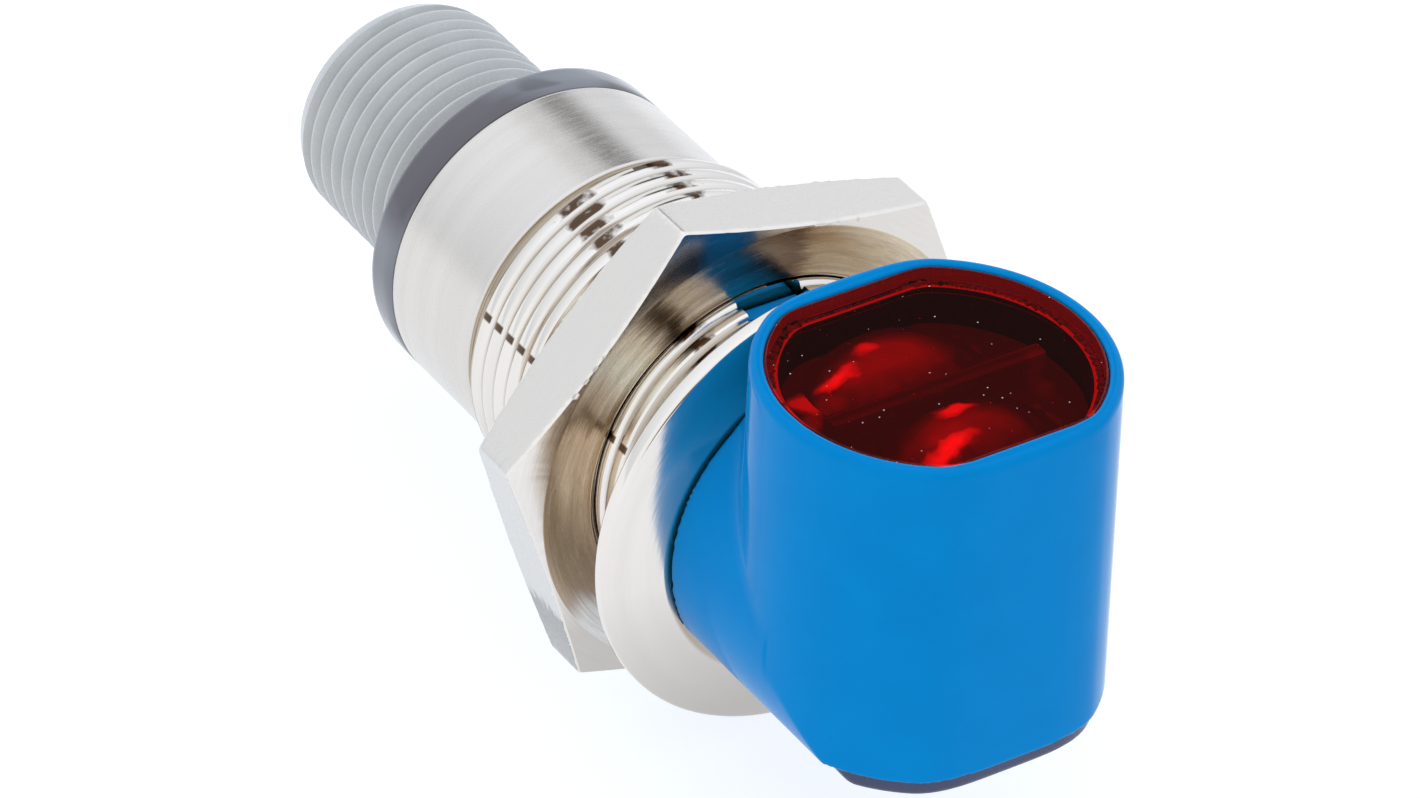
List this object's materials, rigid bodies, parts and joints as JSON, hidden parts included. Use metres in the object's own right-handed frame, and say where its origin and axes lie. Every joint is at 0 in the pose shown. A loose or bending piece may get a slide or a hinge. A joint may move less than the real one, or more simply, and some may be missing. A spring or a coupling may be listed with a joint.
{
  "type": "photoelectric sensor",
  "caption": "Right-angle photoelectric sensor with an M18 threaded metal sleeve, lock nut, plastic optic head with a red window, and an M12 plug end.",
  "frame": {"origin": "on the thread axis, at the rear face of the sleeve's collar, where the sensor seats on a panel or bracket", "axes": "+Y along the thread axis towards the plug, +Z along the optical axis out of the window, +X across the head"},
  "size_m": [0.0272, 0.0548, 0.0265],
  "materials": {
    "nickel_sleeve": "bright nickel plating over turned brass",
    "nickel_nut": "bright nickel plating over milled brass, with fine turning marks on both faces",
    "blue_plastic": "satin moulded blue plastic",
    "smoked_cover": "smoked translucent plastic",
    "red_window": "polished deep red filter plastic",
    "black_plastic": "matt black moulded plastic",
    "clear_lens": "polished clear optical plastic",
    "filter_film": "grey polarising film",
    "circuit_board": "green solder mask on glass epoxy",
    "chip_package": "black epoxy package",
    "ceramic_parts": "ceramic chip parts with tinned ends",
    "led_resin": "clear and yellow resin",
    "tinned_steel": "tinned sheet",
    "flex_film": "amber polyimide film",
    "smoked_ring": "dark smoked translucent plastic",
    "grey_translucent": "light grey translucent plastic, slightly glossy",
    "contact_insert": "grey moulded insert",
    "gold_contact": "gold-plated brass",
    "seal_rubber": "black nitrile rubber"
  },
  "bodies": {
    "housing": {"threaded_sleeve": "nickel_sleeve", "head_shell": "blue_plastic", "head_cover": "smoked_cover", "front_window": "red_window", "lens_carrier": "black_plastic", "emitter_lens": "clear_lens", "receiver_lens": "clear_lens", "emitter_polariser": "filter_film", "receiver_polariser": "filter_film", "optics_board": "circuit_board", "emitter_led": "led_resin", "receiver_photodiode": "chip_package", "receiver_shield": "tinned_steel", "board_flex": "flex_film", "main_board": "circuit_board", "signal_chip": "chip_package", "regulator_chip": "chip_package", "output_transistors": "chip_package", "passives": "ceramic_parts", "indicator_leds": "led_resin", "board_holder": "black_plastic", "indicator_ring": "smoked_ring", "connector_shell": "grey_translucent", "contact_carrier": "contact_insert", "contact_pins": "gold_contact", "head_o_ring": "seal_rubber", "ring_o_ring": "seal_rubber"},
    "nut_carriage": {"nut_thread": "nickel_nut"},
    "nut": {"hex_nut": "nickel_nut"}
  },
  "joints": [
    {"name": "nut_travel", "type": "slide", "parent": "housing", "child": "nut_carriage", "axis": [0, 1, 0], "range_m": [-0.00401, 0.00751]},
    {"name": "nut_turn", "type": "hinge", "parent": "nut_carriage", "child": "nut", "pos_m": [0, 0.00615, 0], "axis": [0, 1, 0], "range_deg": [-1440, 2700]}
  ],
  "couplings": [
    {"joint": "nut_travel", "follows": "nut_turn", "m_per_rad": 0.00015915}
  ]
}
